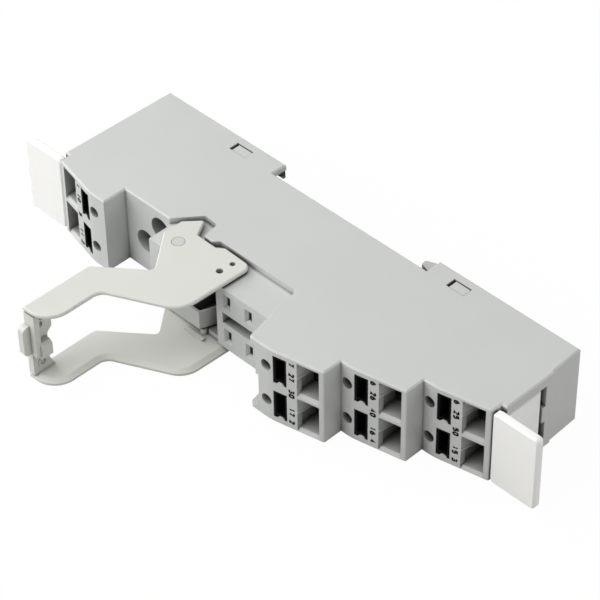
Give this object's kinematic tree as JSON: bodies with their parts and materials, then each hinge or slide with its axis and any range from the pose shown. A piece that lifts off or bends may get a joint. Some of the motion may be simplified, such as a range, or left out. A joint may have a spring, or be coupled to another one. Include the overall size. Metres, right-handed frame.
{
  "type": "relay socket",
  "caption": "Slim relay socket for a mounting rail, with stepped cage-clamp terminals, a swinging retaining and ejecting lever, marker plates and a sprung rail foot.",
  "frame": {"origin": "middle of the seat that rests on the mounting rail, half way across the socket's width", "axes": "+X along the socket towards its end with three terminal steps, +Y from the front towards the rail, +Z across the narrow width towards the side cover"},
  "size_m": [0.1119, 0.0563, 0.0154],
  "materials": {
    "housing_plastic": "fine matte moulded polyamide, light grey",
    "divider_plastic": "matte insulating plastic, grey",
    "lever_plastic": "smooth moulded plastic, warm light grey",
    "foot_plastic": "matte moulded plastic, grey",
    "marker_plastic": "matte plastic, warm white",
    "guide_plastic": "matte black plastic",
    "spring_steel": "bright rolled spring steel",
    "contact_brass": "tinned copper alloy"
  },
  "bodies": {
    "socket": {"housing_body": "housing_plastic", "side_cover": "housing_plastic", "contact_divider": "divider_plastic", "foot_spring": "spring_steel", "marker_plate_left": "marker_plastic", "marker_plate_right": "marker_plastic", "cage_clamp_coil_lower": "spring_steel", "cage_clamp_coil_upper": "spring_steel", "cage_clamp_closed_lower": "spring_steel", "cage_clamp_closed_upper": "spring_steel", "cage_clamp_open_lower": "spring_steel", "cage_clamp_open_upper": "spring_steel", "cage_clamp_common_lower": "spring_steel", "cage_clamp_common_upper": "spring_steel", "contact_strip_coil_lower": "contact_brass", "contact_strip_coil_upper": "contact_brass", "contact_strip_closed_lower": "contact_brass", "contact_strip_closed_upper": "contact_brass", "contact_strip_open_lower": "contact_brass", "contact_strip_open_upper": "contact_brass", "contact_strip_common_lower": "contact_brass", "contact_strip_common_upper": "contact_brass", "key_guide_coil_lower": "guide_plastic", "key_guide_coil_upper": "guide_plastic", "key_guide_closed_lower": "guide_plastic", "key_guide_closed_upper": "guide_plastic", "key_guide_open_lower": "guide_plastic", "key_guide_open_upper": "guide_plastic", "key_guide_common_lower": "guide_plastic", "key_guide_common_upper": "guide_plastic"},
    "lever": {"retaining_lever": "lever_plastic"},
    "foot": {"rail_foot": "foot_plastic"}
  },
  "joints": [
    {"name": "lever_hinge", "type": "hinge", "parent": "socket", "child": "lever", "pos_m": [-0.01617, -0.02328, 0], "axis": [0, 0, 1], "range_deg": [-20, 0]},
    {"name": "foot_slide", "type": "slide", "parent": "socket", "child": "foot", "axis": [1, 0, 0], "range_m": [0, 0.0024], "stiffness_N_per_m": 800, "springref_m": -0.001, "deforming": ["foot_spring"]}
  ]
}
